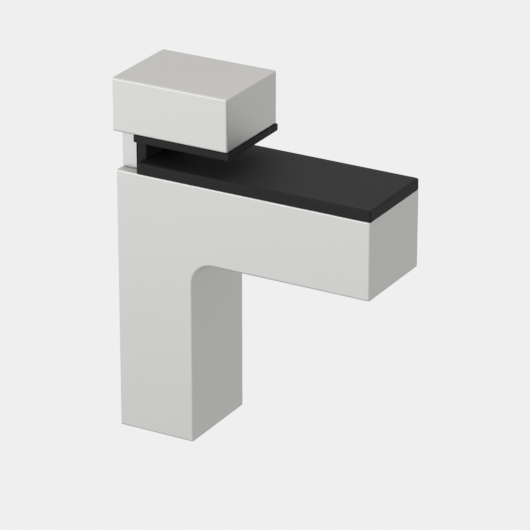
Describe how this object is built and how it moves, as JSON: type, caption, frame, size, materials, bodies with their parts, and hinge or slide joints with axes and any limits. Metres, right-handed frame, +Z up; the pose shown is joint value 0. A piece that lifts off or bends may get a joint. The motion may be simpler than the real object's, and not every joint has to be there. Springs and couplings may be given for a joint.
{
  "type": "shelf bracket",
  "caption": "Square clamp bracket for a glass or timber shelf: an inverted L arm drawn up by a screw against a fixed block jaw, with black rubber pads.",
  "frame": {"origin": "on the wall plane and the bracket's centre plane, midway between the two wall screws", "axes": "+X along the wall, +Y into the wall, +Z up; the arm points along -Y"},
  "size_m": [0.021, 0.0596, 0.0776],
  "materials": {
    "casting": "satin",
    "pad": "matt",
    "screw": "zinc plated"
  },
  "bodies": {
    "wall_jaw": {"upper_jaw": "casting", "jaw_pad": "pad"},
    "arm": {"lower_arm": "casting", "arm_pad": "pad"},
    "screw": {"clamp_screw": "screw"}
  },
  "joints": [
    {"name": "arm_slide", "type": "slide", "parent": "wall_jaw", "child": "arm", "axis": [0, 0, -1], "range_m": [0, 0.02]},
    {"name": "screw_turn", "type": "hinge", "parent": "arm", "child": "screw", "pos_m": [0, -0.01, -0.0373], "axis": [0, 0, -1], "range_deg": [0, 9000]}
  ],
  "couplings": [
    {"joint": "screw_turn", "follows": "arm_slide", "rad_per_m": 7854}
  ]
}
